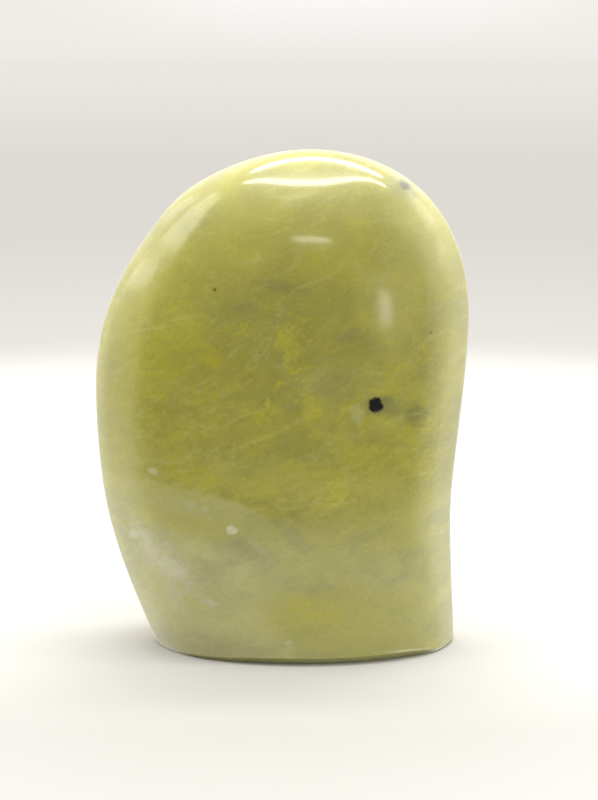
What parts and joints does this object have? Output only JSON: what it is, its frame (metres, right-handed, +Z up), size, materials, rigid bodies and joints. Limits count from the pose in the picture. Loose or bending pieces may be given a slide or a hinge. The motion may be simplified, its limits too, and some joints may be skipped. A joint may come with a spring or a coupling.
{
  "type": "polished serpentine freeform",
  "caption": "Polished yellow-green serpentine freeform: a rounded, slightly leaning slab of stone that stands upright on a sawn flat base.",
  "frame": {"origin": "middle of the bounding box, on the plane of the sawn base that the stone stands on", "axes": "+Z up from the base to the crest, +X across the broad face to the picture's right, -Y the front face, +Y through the thickness to the back"},
  "size_m": [0.1114, 0.0478, 0.1505],
  "materials": {
    "serpentine": "polished to a wet gloss, olive to yellow-green with a paler grey-green foot, cloudy mottling and small dark inclusions"
  },
  "bodies": {
    "root": {"stone": "serpentine"}
  },
  "joints": []
}
